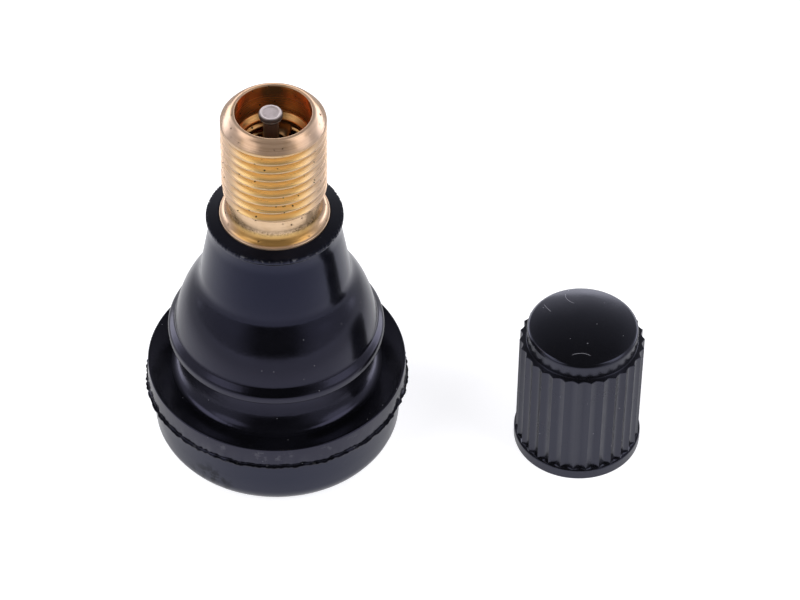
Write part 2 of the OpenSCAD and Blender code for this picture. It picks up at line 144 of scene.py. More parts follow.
def stacked(rows, theta):
    """Radius and height of every row and column, from parts (r, z) set one after the other. A part's
    radius is one number for each row, or already one for each row and column."""
    wide = [(r if r.ndim == 2 else r[:, None]) * np.ones(theta.size) for r, _ in rows]
    return np.concatenate(wide), np.concatenate([z for _, z in rows])[:, None]


def grid_faces(rows, columns, ring):
    """Four-sided faces of a grid whose columns close round, and the three-sided ones of its ends. A
    ring's rows close too; otherwise each end is a fan to one more point, numbered after the grid."""
    i = np.arange(rows if ring else rows - 1)[:, None] * columns
    j = np.arange(columns)[None, :]
    k = (j + 1) % columns
    above = (i + columns) % (rows * columns)
    quads = np.stack(np.broadcast_arrays(i + j, i + k, above + k, above + j), axis=-1).reshape(-1, 4)
    if ring:
        return quads, np.empty((0, 3), int)
    j, k = j[0], k[0]
    first, last = rows * columns, (rows - 1) * columns
    low = np.stack([k, j, np.full_like(j, first)], axis=-1)
    high = np.stack([last + j, last + k, np.full_like(j, first + 1)], axis=-1)
    return quads, np.concatenate([low, high])


# %% Pieces from grids
def piece(name, grids, body, replaced, finish):
    """One object from several grids of points in millimetres, each given as (points, ring)."""
    points, quads, fans, used = [], [], [], 0
    for grid, ring in grids:
        four, three = grid_faces(*grid.shape[:2], ring)
        poles = [] if ring else [grid[:1].mean(axis=1), grid[-1:].mean(axis=1)]
        points += [grid.reshape(-1, 3)] + poles
        quads.append(four + used)
        fans.append(three + used)
        used = sum(len(p) for p in points)
    quads, fans = np.concatenate(quads), np.concatenate(fans)
    corners = np.concatenate([quads.ravel(), fans.ravel()])
    starts = np.concatenate([np.arange(len(quads)) * 4, quads.size + np.arange(len(fans)) * 3])
    mesh = bpy.data.meshes.new(name)
    mesh.vertices.add(used)
    mesh.vertices.foreach_set("co", np.concatenate(points).ravel() * MM)
    mesh.loops.add(corners.size)
    mesh.loops.foreach_set("vertex_index", corners)
    mesh.polygons.add(starts.size)
    mesh.polygons.foreach_set("loop_start", starts)
    mesh.polygons.foreach_set("use_smooth", np.ones(starts.size, bool))
    mesh.update(calc_edges=True)
    mesh.materials.append(finish.material)
    made = bpy.data.objects.new(name, mesh)
    bpy.context.scene.collection.objects.link(made)
    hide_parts(replaced)
    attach(made, body)
    print(name, len(mesh.vertices), "points,", len(mesh.polygons), "faces")
    return made


# %% [markdown]
# Two functions of the angle make what a lathe does not: uneven edges, and screw threads. A thread is a
# ridge that climbs by one pitch in a turn, with the 60 degrees between its flanks that screws have. It
# could be swept along a helix, but as a function of angle and height it needs no joint with the stem.


# %% Unevenness and threads
def ripple(theta, low, high, seed, fall=1.0):
    """Seeded unevenness round the axis, of spread 1: a sum of cosines of the whole frequencies from
    low to high, so it closes where the columns meet."""
    rng = np.random.default_rng(seed)
    k = np.arange(low, high)
    size = rng.normal(size=k.size) * k**-fall
    wave = np.cos(theta[:, None] * k + rng.uniform(0, 2 * np.pi, k.size)) @ size
    return wave / wave.std()


def ridge(theta, z, pitch, depth, crest_at, crest=0.125):
    """Height of a right-handed screw thread, from 0 in its root to 1 on its crest.

    Formula: the phase is z over the pitch less the share of a turn, measured from the crest's middle.
    The crest is flat over a share of the pitch, and each flank then falls by the depth over a width of
    the depth times the tangent of 30 degrees."""
    phase = np.abs((z / pitch - theta / (2 * np.pi) - crest_at + 0.5) % 1 - 0.5)
    flank = depth * math.tan(math.radians(30)) / pitch
    return np.clip(1 - (phase - crest / 2) / flank, 0, 1)


# %% [markdown]
# ## Helpers for materials
# Each finish is built from Blender's own noise and cell patterns. A picture could be painted for it, but
# patterns in object coordinates need no unwrapping, and because the objects sit at the origin, one
# pattern unit is a real length on the piece.


# %% Node helpers
class Nodes:
    """Short calls that add nodes to one node tree."""

    def __init__(self, tree):
        self.tree = tree

    def link(self, value, socket):
        """Links a node's output to a socket, or writes a plain number, vector or colour on it."""
        if isinstance(value, bpy.types.NodeSocket):
            self.tree.links.new(value, socket)
        elif socket.type == "RGBA":
            socket.default_value = (*value, 1)
        else:
            socket.default_value = value

    def add(self, kind, inputs=(), **properties):
        """A new node with its properties set and its inputs linked or written. Gives its outputs."""
        node = self.tree.nodes.new("ShaderNode" + kind)
        for key, value in properties.items():
            setattr(node, key, value)
        for key, value in inputs:
            self.link(value, node.inputs[key])
        return node.outputs

    def math(self, operation, a, b=0.0, c=0.0):
        return self.add("Math", enumerate((a, b, c)), operation=operation)["Value"]

    def vector(self, operation, a, b):
        return self.add("VectorMath", enumerate((a, b)), operation=operation)

    def both(self, *shares):
        """Product of several shares."""
        result = shares[0]
        for share in shares[1:]:
            result = self.math("MULTIPLY", result, share)
        return result

    def most(self, *shares):
        """Largest of several shares."""
        result = shares[0]
        for share in shares[1:]:
            result = self.math("MAXIMUM", result, share)
        return result

    def ramp(self, value, low, high, to_low=0.0, to_high=1.0):
        """The value spread from low..high to to_low..to_high, smoothly and without overshoot."""
        keys = ("Value", "From Min", "From Max", "To Min", "To Max")
        inputs = zip(keys, (value, low, high, to_low, to_high))
        return self.add("MapRange", inputs, interpolation_type="SMOOTHSTEP")["Result"]

    def between(self, value, low, high, soft):
        """1 from low to high, fading out over soft at both ends."""
        rise = self.ramp(value, low - soft, low + soft)
        return self.both(rise, self.ramp(value, high + soft, high - soft))


# %% Finishes
class Finish(Nodes):
    """A Principled material whose patterns are laid out in millimetres."""

    def __init__(self, name, colour, roughness, metallic=0.0):
        self.material = bpy.data.materials.new(name)
        self.material.use_nodes = True
        super().__init__(self.material.node_tree)
        self.shader = self.tree.nodes["Principled BSDF"]
        self.feed("Base Color", colour)
        self.feed("Roughness", roughness)
        self.feed("Metallic", metallic)
        where = self.add("TexCoord")["Object"]
        self.mm = self.vector("MULTIPLY", where, (1 / MM, 1 / MM, 1 / MM))["Vector"]
        self.x, self.y, self.z = self.add("SeparateXYZ", [("Vector", self.mm)])

    def feed(self, name, value):
        self.link(value, self.shader.inputs[name])

    def stretch(self, by):
        """The place in millimetres, scaled along each axis."""
        return self.vector("MULTIPLY", self.mm, by)["Vector"]

    def away(self, point):
        """Distance in millimetres from a point."""
        return self.vector("DISTANCE", self.mm, point)["Value"]

    def axial(self):
        """Distance in millimetres from the valve's axis."""
        return self.vector("DISTANCE", self.stretch((1, 1, 0)), (0, 0, 0))["Value"]

    def noise(self, scale, detail=3.0, where=None):
        inputs = [("Scale", scale), ("Detail", detail), ("Vector", where or self.mm)]
        return self.add("TexNoise", inputs)["Fac"]

    def specks(self, scale, size, kept):
        """Sparse round dots: near the middle of a cell, in the share of cells that is kept."""
        cell = self.add("TexVoronoi", [("Scale", scale), ("Vector", self.mm)])
        chance = self.add("SeparateColor", [("Color", cell["Color"])])["Red"]
        near = self.ramp(cell["Distance"], size, size * 0.5)
        return self.both(near, self.math("LESS_THAN", chance, kept))

    def strand(self, centre, radius, width, middle, reach):
        """A fibre along a piece of a circle: near its radius, and within reach of the piece's middle."""
        off = self.math("ABSOLUTE", self.math("SUBTRACT", self.away(centre), radius))
        along = self.ramp(self.away(middle), reach, reach * 0.7)
        return self.both(self.ramp(off, width, width * 0.3), along)

    def mix(self, share, a, b):
        """Colour a, turning to colour b as the share grows. Its colours are the sockets 6 and 7."""
        return self.add("Mix", [(0, share), (6, a), (7, b)], data_type="RGBA")[2]

    def coats(self, colour, layers):
        """A colour with others laid over it in turn, each given as (share, colour)."""
        for share, layer in layers:
            colour = self.mix(share, colour, layer)
        return colour

    def bump(self, height, strength, distance):
        inputs = [("Strength", strength), ("Distance", distance * MM), ("Height", height)]
        self.feed("Normal", self.add("Bump", inputs)["Normal"])


# %% [markdown]
# ## Rubber body
# The real body is pressed in a two-part mould and trimmed. So it is a turned form with two places that a
# lathe could not make: the ragged flash where the mould's halves meet under the flange, and the roughly
# cut edge round the stem. They could be sculpted, but here both are the same outline with its rows
# pushed in and out round the axis, so their size stays known.

# %% Outline of the rubber
AIR_R, BASE_FLAT_R, BASE_R, BASE_ROUND = 2.2, 4.1, 9.35, 2.7
PARTING_Z, FLASH_R, FLANGE_R, FLANGE_Z = 6.1, 10.05, 9.8, 7.83
DISH_R, DISH_Z, GROOVE_R, GROOVE_Z = 8.0, 7.28, 6.35, 10.43
LIP_R, LIP_Z, LIP_TOP_Z, BULB_R, BULB_Z = 8.15, 11.03, 11.68, 7.6, 12.18
SHOULDER_MID, NECK_FOOT = (6.16, 16.05), (5.5, 17.9)
NECK_R, NECK_Z, TRIM_R, TOP_Z = 4.88, 21.5, 5.07, 22.85
FOOT_R, FOOT_Z, FOOT_TOP_Z = 4.7, 10.65, 11.65
SHANK_R, SHANK_Z, SHANK_TOP_Z = 3.6, 12.75, 21.38
COLLAR_R, COLLAR_FOOT_Z, COLLAR_CLIMB, BOND = 4.07, 21.85, 0.23, 0.02
SEAM_Z = 0.6

base = [(AIR_R, SEAM_Z, 0), (AIR_R, 0, 0.15)]
base += arc(BASE_FLAT_R, BASE_ROUND, BASE_R - BASE_FLAT_R, BASE_ROUND, -90, 0)
base += [(BASE_R, PARTING_Z - 0.5, 0.08), (FLASH_R, PARTING_Z - 0.12, 0.03), (FLASH_R, PARTING_Z, 0.03)]
flange = [(FLANGE_R + 0.05, PARTING_Z + 0.02, 0.05), (FLANGE_R, FLANGE_Z, 0.14)]
flange += [(DISH_R + 0.1, DISH_Z + 0.03, 0.08)]
groove = cubic((DISH_R, DISH_Z), (7.1, DISH_Z), (6.575, 8.83), (GROOVE_R, GROOVE_Z), 22)
groove += cubic((GROOVE_R - 0.02, 10.55), (6.3, 10.74), (6.89, LIP_Z), (LIP_R - 0.25, LIP_Z), 10)
lip_edge = [(LIP_R, LIP_Z, 0.12), (LIP_R, LIP_TOP_Z, 0.2), (BULB_R + 0.02, BULB_Z - 0.02, 0.14)]
shoulder = cubic((BULB_R, BULB_Z + 0.1), (7.32, 13.76), (7.03, 14.85), SHOULDER_MID, 18)
shoulder += cubic(SHOULDER_MID, (5.57, 16.86), (5.64, 17.11), NECK_FOOT, 14)[1:]
rim = [(NECK_R, NECK_Z, 0.4), (NECK_R, 22.3, 0.1), (TRIM_R, 22.5, 0.08), (TRIM_R, TOP_Z, 0.06)]
rim += [(TRIM_R - 0.2, TOP_Z + 0.05, 0), (COLLAR_R + BOND, TOP_Z + COLLAR_CLIMB, 0.05)]
hollow = [(COLLAR_R + BOND, COLLAR_FOOT_Z - BOND, 0), (SHANK_R + BOND, SHANK_TOP_Z - BOND, 0)]
hollow += [(SHANK_R + BOND, SHANK_Z + BOND, 0), (FOOT_R + BOND, FOOT_TOP_Z + BOND, 0)]
hollow += [(FOOT_R + BOND, FOOT_Z - BOND, 0), (AIR_R, FOOT_Z - BOND, 0.1), (AIR_R, SEAM_Z, 0)]
rubber_r, rubber_z = outline(base + flange + groove + lip_edge + shoulder + rim + hollow, step=2.0)
print("rubber outline of", rubber_r.size, "rows")

# %% [markdown]
# Moulded rubber is almost black and takes most of its look from what it mirrors. A bloom on its surface
# gives the gloss a bluish tint, the gloss wanders a little, and grains of dust cling to it. It is dull
# where the knife cut it, where the flash tore and in some marks low on the base, and pale where the cut
# edge frays and where the flange's side is scuffed. Each place could have a material of its own, but as
# shares of one material they fade into each other and the body stays in one piece.

# %% Rubber finish
BLACK, BLOOM, PALE = (0.0022, 0.0022, 0.003), (0.0045, 0.0045, 0.0065), (0.16, 0.16, 0.17)
BASE_TINT, BULB_TINT, NECK_TINT = (0.57, 0.61, 1.0), (0.66, 0.65, 1.0), (0.5, 0.54, 1.0)
MOULD_MARKS, MARKS_IN, MARKS_OUT = (-4.5, -7.5, 2.2), 1.2, 2.8
RUBBER_IOR, MIRRORING, DULL_MIRRORING = 1.6, 0.5, 0.14

rubber = Finish("body_rubber", (0.003, 0.003, 0.004), 0.15)
from_axis = rubber.axial()
dust = rubber.specks(1.0, 0.05, 0.44)
cut_edge = rubber.both(
    rubber.between(rubber.z, TOP_Z - 0.25, TOP_Z - 0.01, 0.08),
    rubber.ramp(from_axis, TRIM_R - 0.14, TRIM_R - 0.05),
)
frayed = rubber.both(cut_edge, rubber.ramp(rubber.noise(2.6, 5), 0.52, 0.68, 0, 0.6))
flange_side = rubber.both(
    rubber.between(rubber.z, PARTING_Z - 0.5, FLANGE_Z - 0.23, 0.2),
    rubber.ramp(from_axis, FLANGE_R - 0.6, FLANGE_R - 0.3),
)
scuffs = rubber.both(flange_side, rubber.ramp(rubber.noise(1.6, 6), 0.58, 0.72, 0, 0.25))
clean = rubber.mix(rubber.ramp(rubber.noise(0.22, 4), 0.4, 0.7), BLACK, BLOOM)
rubber.feed("Base Color", rubber.mix(rubber.most(dust, scuffs, frayed), clean, PALE))

# %% Rubber gloss
cut_face = rubber.both(
    rubber.ramp(rubber.z, TOP_Z - 0.3, TOP_Z - 0.1),
    rubber.ramp(from_axis, TRIM_R + 0.03, TRIM_R - 0.07),
)
uneven_z = rubber.math("MULTIPLY_ADD", rubber.noise(0.9, 5), 0.7, rubber.z)
torn_face = rubber.both(
    rubber.ramp(uneven_z, PARTING_Z - 0.12, PARTING_Z - 0.04),
    rubber.ramp(rubber.z, PARTING_Z + 0.05, PARTING_Z),
    rubber.ramp(from_axis, BASE_R - 0.15, BASE_R - 0.05),
)
marks = rubber.both(
    rubber.ramp(rubber.away(MOULD_MARKS), MARKS_OUT, MARKS_IN),
    rubber.ramp(rubber.noise(1.6, 6), 0.42, 0.58, 0, 0.7),
)
gloss = rubber.ramp(rubber.noise(0.5, 5), 0.35, 0.7, 0.15, 0.21)
dulled = rubber.math("MULTIPLY_ADD", dust, 0.4, rubber.both(cut_face, 0.3))
rubber.feed("Roughness", rubber.math("ADD", gloss, dulled))
rubber.feed("IOR", RUBBER_IOR)
unpolished = rubber.most(cut_face, torn_face, marks)
rubber.feed("Specular IOR Level", rubber.ramp(unpolished, 0, 1, MIRRORING, DULL_MIRRORING))
low_tint = rubber.mix(rubber.ramp(rubber.z, 5, 7), BASE_TINT, BULB_TINT)
rubber.feed("Specular Tint", rubber.mix(rubber.ramp(rubber.z, 13, 20.5), low_tint, NECK_TINT))
rubber.bump(rubber.noise(3.0, 4), 0.05, 0.1)
print("finish", rubber.material.name)

# %% [markdown]
# The flash keeps a part of its width that changes along the edge, torn short in places, and it wanders a
# little up and down. The trimmed edge has nicks where the knife slipped.

# %% Rubber body
RUBBER_COLUMNS = 440
FLASH_LEFT, FLASH_MOST, FLASH_LEAST = 0.85, 1.0, 0.25
NICK_REACH, NICK_IN, NICK_DOWN, SWAY, SWAY_FROM_R = 0.28, 0.09, 0.06, 0.012, 4.5

theta = angles(RUBBER_COLUMNS)
r, z = rubber_r[:-1, None], rubber_z[:-1, None]
torn = FLASH_LEFT + 0.12 * ripple(theta, 5, 50, 3, 0.4) + 0.15 * ripple(theta, 40, 150, 4, 0.1)
fin = (r > FLANGE_R) & (z < PARTING_Z + 0.1)
ragged_r = np.where(fin, FLANGE_R + (r - FLANGE_R) * np.clip(torn, FLASH_LEAST, FLASH_MOST), r)
wander = fin * np.clip(0.035 * ripple(theta, 3, 60, 5, 0.5), -0.1, 0.1)
nicked = np.clip(np.abs(ripple(theta, 30, 200, 7, 0.1)) - 0.7, 0, 1.6)
trim = np.exp(-(((z - TOP_Z) / NICK_REACH) ** 2)) * (r > TRIM_R - 0.12)
sway = SWAY * (r > SWAY_FROM_R) * (1 + np.tanh(ripple(theta, 2, 7, 9)))
ragged_r = ragged_r - NICK_IN * trim * nicked - sway
ragged_z = z + wander - NICK_DOWN * trim * nicked * (z > TOP_Z - 0.25)
moulding = [(turned(ragged_r, ragged_z, theta), True)]
piece("rubber_moulding", moulding, "valve", "rubber_body", rubber)

# %% [markdown]
# ## Brass stem
# The stem is turned from bar and both its threads are cut: 32 turns to the inch outside for the cap, 36
# inside for the core. A thread could be a separate helix, but here it is the same turned grid with its
# radius lowered by the ridge function, so the stem stays one closed skin.

# %% Sizes of the stem
INCH = 25.4
OUT_PITCH, OUT_DEPTH, OUT_CREST = INCH / 32, 0.47, 0.664
IN_PITCH, IN_DEPTH, IN_CREST = INCH / 36, 0.3, 0.2
STEM_R, STEM_NECK_R, MOUTH_R, BORE_R, CHAMBER_R = 3.85, 3.45, 2.8, 2.4, 2.0
COLLAR_Z, FLARE_Z, NECK_TOP_Z, THREAD_Z, THREAD_TOP_Z, MOUTH_Z = 23.2, 24.0, 25.1, 25.7, 32.1, 33.0
MOUTH_FLOOR_Z, BORE_TOP_Z, BORE_Z = 30.5, 30.06, 23.4
print("outer pitch", round(OUT_PITCH, 4), "inner pitch", round(IN_PITCH, 4))

# %% [markdown]
# Turned brass mirrors its surroundings in its own colour, and in a thread's groove it mirrors itself
# once more, which makes the grooves a stronger gold. The lip and the crests are handled and are paler.
# The stem's left and right sides and the rim of the collar get a painted sheen of paler colour, and the
# neck above the collar gets painted dark reflections at its left and right sides. The tool leaves fine
# rings, most of all on the lip, the surface has small dark pits, and the neck above the collar is
# stained by the moulding of the rubber. Each of these is a share of the surface, and the tones are laid
# over each other in turn, like coats of paint.

# %% Where the brass changes its tone
brass = Finish("stem_brass", (1.0, 0.69, 0.31), 0.2, 0.7)
from_axis = brass.axial()
beside = brass.math("ABSOLUTE", brass.x)
rings = brass.noise(1.0, 5, brass.stretch((0.04, 0.04, 9.0)))
tooled = brass.ramp(brass.noise(1.0, 2, brass.stretch((0.02, 0.02, 14.0))), 0.42, 0.62, 0, 0.5)
clouds = brass.ramp(brass.noise(0.8, 6), 0.52, 0.8, 0, 0.45)
pits = brass.most(brass.specks(1.6, 0.16, 0.45), brass.specks(2.7, 0.2, 0.2))

lip = brass.ramp(brass.z, THREAD_TOP_Z - 0.1, THREAD_TOP_Z + 0.2)
threaded = brass.between(brass.z, THREAD_Z - 0.2, THREAD_TOP_Z, 0.1)
crests = brass.both(threaded, brass.ramp(from_axis, STEM_R - 0.05, STEM_R - 0.01))
neck = brass.between(brass.z, FLARE_Z, THREAD_Z - 0.3, 0.15)
flare = brass.ramp(brass.z, FLARE_Z, FLARE_Z - 0.5)
# A painted highlight on the rim of the collar, and below it a painted sheen on the stem's left and right
# sides.
collar_rim_sheen = brass.both(
    brass.ramp(from_axis, COLLAR_R - 0.23, COLLAR_R - 0.1),
    brass.between(brass.z, COLLAR_Z - 0.3, COLLAR_Z + 0.1, 0.1),
)
thread_side_sheen = brass.both(
    brass.ramp(beside, 1.6, 3.5, 0, 0.85),
    brass.ramp(brass.z, THREAD_Z - 0.7, THREAD_Z - 0.1),
)
flare_side_sheen = brass.both(
    brass.ramp(beside, 2.2, 3.6, 0, 0.8),
    brass.ramp(brass.z, FLARE_Z, FLARE_Z - 0.3),
)
in_mouth = brass.ramp(from_axis, MOUTH_R + 0.06, MOUTH_R - 0.01)
wall = brass.both(in_mouth, brass.between(brass.z, MOUTH_FLOOR_Z + 0.1, MOUTH_Z - 0.1, 0.06))
deep = brass.both(in_mouth, brass.ramp(brass.z, MOUTH_FLOOR_Z + 0.16, MOUTH_FLOOR_Z + 0.04))
print("shares of the brass made")

# %% Brass finish
GOLD, BRIGHT_GOLD, FLARE_GOLD = (0.98, 0.62, 0.23), (1.0, 0.69, 0.3), (0.56, 0.29, 0.08)
NECK_GOLD, MOUTH_GOLD, DEEP_GOLD = (0.98, 0.71, 0.49), (0.9, 0.42, 0.14), (0.76, 0.42, 0.16)
# The third tone on the next line is a painted sheen.
ROSY, TOOL_LINE, PAINTED_SHEEN = (0.86, 0.58, 0.42), (0.5, 0.3, 0.18), (0.68, 0.51, 0.41)
# The third tone on the next line is a painted dark reflection.
WORN_CREST, CLOUDED, DARK_REFLECTION = (0.95, 0.7, 0.54), (0.66, 0.4, 0.17), (0.34, 0.2, 0.08)
STAIN, PIT, MIRROR_TINT = (0.14, 0.08, 0.03), (0.05, 0.03, 0.015), (0.6, 0.52, 0.46)

# Painted dark reflections on the left and right sides of the neck above the collar, mottled by noise.
side_dark_reflection = brass.both(
    brass.ramp(beside, 1.2, 2.4),
    brass.ramp(brass.noise(2.2, 5), 0.36, 0.6, 0.3, 0.7),
    brass.between(brass.z, FLARE_Z - 0.25, FLARE_Z + 0.6, 0.3),
)
grains = brass.most(brass.specks(5.0, 0.5, 0.5), brass.ramp(brass.noise(7.0, 4), 0.46, 0.6, 0, 0.6))
stained = brass.both(brass.between(brass.z, FLARE_Z - 0.1, FLARE_Z + 0.25, 0.2), grains, 0.85)
layers = [(brass.both(flare, 0.85), FLARE_GOLD), (brass.both(neck, 0.85), NECK_GOLD)]
layers += [(brass.both(lip, 0.85), ROSY), (brass.both(lip, tooled), TOOL_LINE)]
layers += [(brass.most(brass.both(collar_rim_sheen, 0.7), thread_side_sheen, flare_side_sheen), PAINTED_SHEEN)]
layers += [(brass.both(crests, 0.5), WORN_CREST), (clouds, CLOUDED), (side_dark_reflection, DARK_REFLECTION)]
layers += [(stained, STAIN), (wall, MOUTH_GOLD), (deep, DEEP_GOLD), (pits, PIT)]
brass.feed("Base Color", brass.coats(brass.mix(rings, GOLD, BRIGHT_GOLD), layers))
brass.feed("Metallic", brass.ramp(brass.most(wall, deep), 0, 1, 0.7, 0.95))
brass.feed("Specular Tint", MIRROR_TINT)
cut_thread = brass.between(brass.z, THREAD_Z - 0.2, THREAD_TOP_Z - 0.1, 0.15)
polish = brass.math("MULTIPLY_ADD", cut_thread, 0.1, brass.ramp(rings, 0.3, 0.7, 0.13, 0.26))
brass.feed("Roughness", brass.math("MULTIPLY_ADD", pits, 0.4, polish))
brass.bump(brass.math("SUBTRACT", rings, brass.both(pits, 1.5)), 0.2, 0.04)
print("finish", brass.material.name)

# %% [markdown]
# The stem's rows are set one after the other: the shank and the flare above the collar, the outer
# thread, the chamfered lip and the mouth, the inner thread, and the seat and the chamber of the core.

# %% Outer rows of the stem
STEM_COLUMNS, OUT_STEP, IN_STEP = 252, 0.038, 0.07

shank = [(CHAMBER_R, FOOT_Z, 0), (FOOT_R, FOOT_Z, 0.05), (FOOT_R, FOOT_TOP_Z, 0.1)]
shank += [(SHANK_R, SHANK_Z, 0.1), (SHANK_R, SHANK_TOP_Z, 0.1)]
shank += [(COLLAR_R, COLLAR_FOOT_Z, 0.1), (COLLAR_R, COLLAR_Z, 0.07)]
flare_curve = cubic((4.0, COLLAR_Z), (3.64, 23.31), (STEM_NECK_R, 23.64), (STEM_NECK_R, 24.3), 14)
lower = outline(shank + flare_curve + [(STEM_NECK_R, NECK_TOP_Z, 0)], step=1.2)

theta = angles(STEM_COLUMNS)
out_z = np.arange(NECK_TOP_Z + 0.04, THREAD_TOP_Z + 0.06, OUT_STEP)
run_in, run_out = THREAD_Z - 0.4, THREAD_TOP_Z - 0.3
out_r = np.interp(out_z, [run_in, THREAD_Z], [STEM_NECK_R, STEM_R])
runs = np.interp(out_z, [run_in, THREAD_Z + 0.05, run_out, THREAD_TOP_Z], [0, 1, 1, 0])[:, None]
ridges = ridge(theta, out_z[:, None], OUT_PITCH, OUT_DEPTH, OUT_CREST)
thread = np.minimum(out_r[:, None], STEM_R - OUT_DEPTH * runs * (1 - ridges))
print("outer thread of", out_z.size, "rows")

# %% Brass stem
chamfer_low, chamfer_high = (STEM_R - 0.02, THREAD_TOP_Z + 0.1), (3.02, MOUTH_Z - 0.02)
chamfer = cubic(chamfer_low, (3.63, 32.48), (3.38, 32.77), chamfer_high, 12)
mouth = [(2.93, MOUTH_Z, 0.04), (MOUTH_R, MOUTH_Z, 0.05), (MOUTH_R, MOUTH_FLOOR_Z, 0.05)]
mouth += [(BORE_R + 0.02, BORE_TOP_Z + 0.06, 0.04), (BORE_R, BORE_TOP_Z, 0)]
upper = outline(chamfer + mouth, step=0.8)

in_top = BORE_TOP_Z - 0.04
in_z = np.arange(in_top, BORE_Z, -IN_STEP)
runs = np.interp(in_z, [BORE_Z, BORE_Z + 0.6, in_top - 0.12, in_top], [0, 1, 1, 0.7])[:, None]
ridges = ridge(theta, in_z[:, None], IN_PITCH, IN_DEPTH, IN_CREST, 0.25)
bore = BORE_R + IN_DEPTH * runs * (1 - ridges)
seat = [(BORE_R, BORE_Z - 0.1, 0), (2.28, 22.3, 0), (CHAMBER_R, 20.7, 0), (CHAMBER_R, FOOT_Z, 0)]
seat_r, seat_z = outline(seat, step=1.5)

parts = [lower, (thread, out_z), upper, (bore, in_z), (seat_r[:-1], seat_z[:-1])]
stem = [(turned(*stacked(parts, theta), theta), True)]
piece("threaded_stem", stem, "valve", "brass_stem", brass)

# %% [markdown]
# ## Dust cap
# The cap is moulded: a plain ring at its mouth, ribs for the fingers with hollow flutes between them, a
# smooth band and a low dome. The flutes could be cut by a row of cylinders, but a wall whose radius is a
# function of the angle keeps clean edges on the ribs.

# %% Sizes of the cap
CAP_X, CAP_Y = 23.11, -0.2
RING_R, RING_H, RIB_R, RIB_TOP_Z, RIBS = 4.86, 0.9, 4.74, 10.4, 30
FLUTE_DEPTH, FLUTE_POWER, RIB_TURN = 0.22, 1.5, math.radians(-4.7)
BAND_R, BAND_TOP_Z, DOME_ROUND, DOME_EDGE = 4.22, 11.44, 0.32, 73.5
HOLE_R, HOLE_H, HOLE_DEPTH = 3.8, 9.6, 0.25
print("cap beside the valve at", (CAP_X, CAP_Y))

# %% [markdown]
# The cap's black plastic has a softer gloss than the rubber and a fine moulded grain. It has picked up
# specks of dust, and three fibres of lint lie on its dome. Fibres this thin could be curves with a
# thickness, but drawn in the material, each as a piece of a circle, they follow the dome by themselves.

# %% Cap finish
PLASTIC, PLASTIC_GRAIN, LINT = (0.0035, 0.0035, 0.0045), (0.007, 0.007, 0.009), (0.16, 0.16, 0.18)
PLASTIC_IOR, FIBRE_WIDTH, LINT_Z = 1.68, 0.04, 12.1
# Each fibre: its circle's middle from the cap's axis, the radius, the fibre's own middle, its reach.
FIBRES = [((-0.25, -4.65), 1.6, (-0.2, -3.05), 0.8), ((0.83, 3.55), 4.0, (-2.69, 1.65), 0.62)]
FIBRES += [((-0.1, 3.11), 1.2, (-1.15, 2.52), 0.85)]

plastic = Finish("cap_plastic", (0.004, 0.004, 0.005), 0.25)
grain = plastic.noise(7.0, 4)
on_dome = plastic.ramp(plastic.z, BAND_TOP_Z - 0.04, BAND_TOP_Z + 0.16)
lint = plastic.specks(1.5, 0.1, 0.33)
for (x, y), radius, (mid_x, mid_y), reach in FIBRES:
    centre, middle = (CAP_X + x, CAP_Y + y, LINT_Z), (CAP_X + mid_x, CAP_Y + mid_y, LINT_Z - 0.2)
    fibre = plastic.strand(centre, radius, FIBRE_WIDTH, middle, reach)
    lint = plastic.most(lint, plastic.both(fibre, on_dome))
plastic.feed("Base Color", plastic.mix(lint, plastic.mix(grain, PLASTIC, PLASTIC_GRAIN), LINT))
satin = plastic.ramp(plastic.noise(0.6, 5), 0.3, 0.7, 0.2, 0.28)
smoother = plastic.ramp(plastic.z, BAND_TOP_Z - 0.04, BAND_TOP_Z + 0.26, 0, 0.11)
plastic.feed("Roughness", plastic.math("SUBTRACT", satin, smoother))
plastic.feed("IOR", PLASTIC_IOR)
plastic.feed("Specular Tint", (0.69, 0.71, 1.0))
plastic.bump(grain, 0.05, 0.04)
print("finish", plastic.material.name)


# %% Ribbed wall of the cap
def fluted(theta):
    """Radius of the ribbed wall.

    Formula: the share u runs from 0 in a flute's middle to 1 on the ribs at both its sides. The wall
    lies below the ribs' radius by the depth times 1 less u to a power between 1, which would make flat
    sides that meet in a corner, and 2, which would make a round hollow."""
    u = np.abs(((theta - RIB_TURN) * RIBS / (2 * np.pi) + 0.5) % 1 - 0.5) * 2
    return RIB_R - FLUTE_DEPTH * (1 - u**FLUTE_POWER)


RIB_COLUMNS, RIB_GATHER = 16, 1.8

steps = np.linspace(-1, 1, RIB_COLUMNS + 1)[:-1]
gathered = np.sign(steps) * (1 - (1 - np.abs(steps)) ** RIB_GATHER) / 2
theta = RIB_TURN + ((np.arange(RIBS)[:, None] + gathered) * 2 * np.pi / RIBS).ravel()
wall_z = np.array([RING_H, 0.93, 1.0, 1.3, 3, 5, 7, 9, 10.0, 10.3, 10.37, RIB_TOP_Z, RIB_TOP_Z])
wall_in = np.zeros(wall_z.size)
wall_in[-2:] = 0.01, 0.05
ribbed = (fluted(theta) - wall_in[:, None], wall_z)
print("ribs", RIBS, "columns", theta.size)

# %% Dust cap
HOLE_STEP = 0.08

hole_z = np.arange(9.1, 0.5, -HOLE_STEP)
runs = np.interp(hole_z, [0.5, 0.9, 8.8, 9.1], [0, 1, 1, 0])[:, None]
ridges = ridge(theta, hole_z[:, None], OUT_PITCH, HOLE_DEPTH, 0.1)
hole = HOLE_R - 0.15 * runs + HOLE_DEPTH * runs * (1 - ridges)
roof = outline([(0.4, HOLE_H, 0), (HOLE_R, HOLE_H, 0.25), (HOLE_R, 9.15, 0)], step=1.5)
ring = [(HOLE_R, 0.45, 0), (3.98, 0, 0.06), (RING_R, 0, 0.1), (RING_R, RING_H, 0.06), (4.78, RING_H, 0)]

